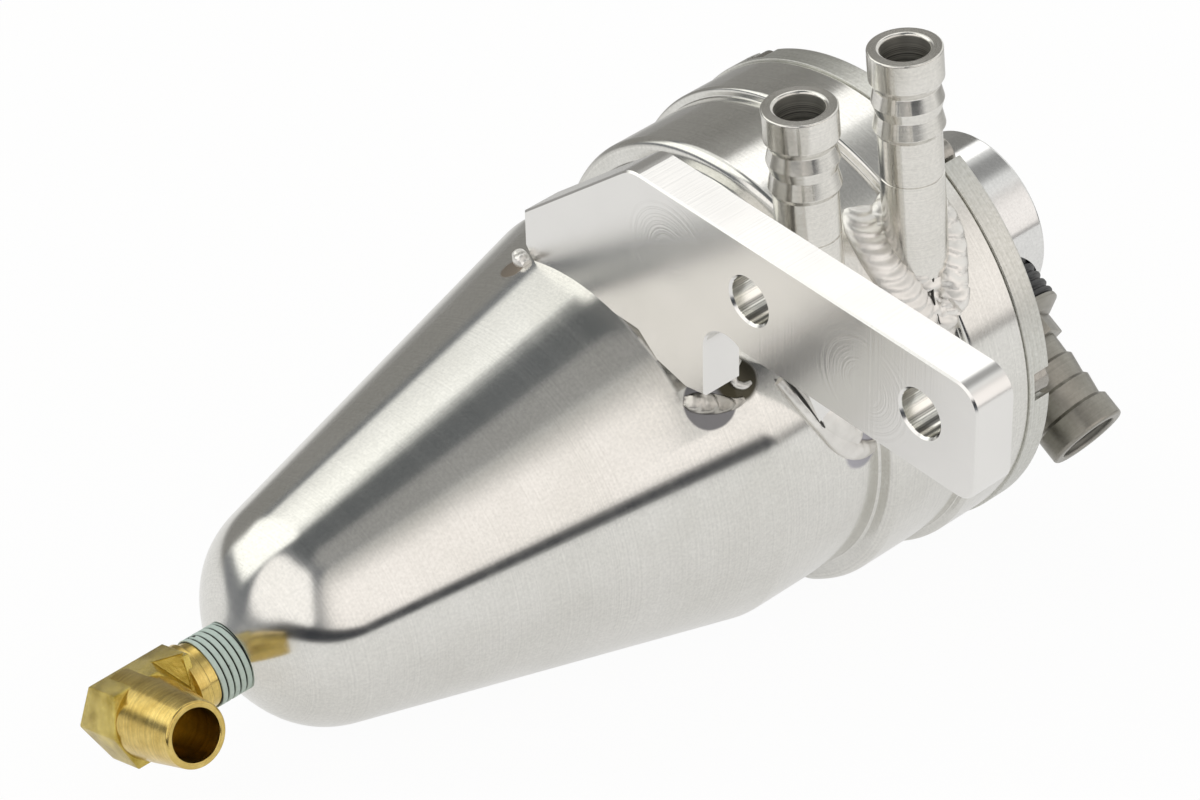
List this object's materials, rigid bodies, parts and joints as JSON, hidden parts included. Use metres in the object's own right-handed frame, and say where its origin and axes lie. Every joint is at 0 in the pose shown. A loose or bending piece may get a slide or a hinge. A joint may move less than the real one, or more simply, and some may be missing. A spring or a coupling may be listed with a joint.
{
  "type": "oil catch can",
  "caption": "Conical oil catch can with a side bracket, two hose inlets, a bolted lid with a side outlet, and a brass drain elbow.",
  "frame": {"origin": "midway between the bracket's two bolt holes, on the arm's face towards the nose", "axes": "+Z along the can towards the lid, +X along the bracket's arm away from the can, -Y roughly the way the inlets point"},
  "size_m": [0.1548, 0.1321, 0.226],
  "materials": {
    "turned_aluminium": "bare, turned, with fine lines",
    "machined_aluminium": "bare, milled",
    "satin_aluminium": "bare, satin",
    "polished_aluminium": "polished",
    "grey_aluminium": "warm grey, satin",
    "weld_metal": "as welded, rippled",
    "steel": "plain",
    "wire_mesh": "woven, its air and wire taken together",
    "brass": "forged and part turned",
    "black_sealant": "dull",
    "green_sealant": "dull, dried paste",
    "seal_rubber": "dull"
  },
  "bodies": {
    "root": {"vessel_body": "turned_aluminium", "lid": "satin_aluminium", "lid_seal": "seal_rubber", "lid_screws": "steel", "hub": "polished_aluminium", "hub_seal": "seal_rubber", "outlet_fitting": "grey_aluminium", "outlet_sealant": "black_sealant", "inlet_upper_barb": "polished_aluminium", "inlet_lower_barb": "polished_aluminium", "inlet_upper_weld": "weld_metal", "inlet_lower_weld": "weld_metal", "bracket": "machined_aluminium", "bracket_toe_weld": "weld_metal", "bracket_lobe_weld": "weld_metal", "bracket_leg_weld": "weld_metal", "drain_elbow": "brass", "drain_sealant": "green_sealant", "dip_tube": "turned_aluminium", "filter_mesh": "wire_mesh", "filter_cap": "turned_aluminium", "baffle_rod": "steel", "baffle_plate": "turned_aluminium", "baffle_nuts": "steel"}
  },
  "joints": []
}
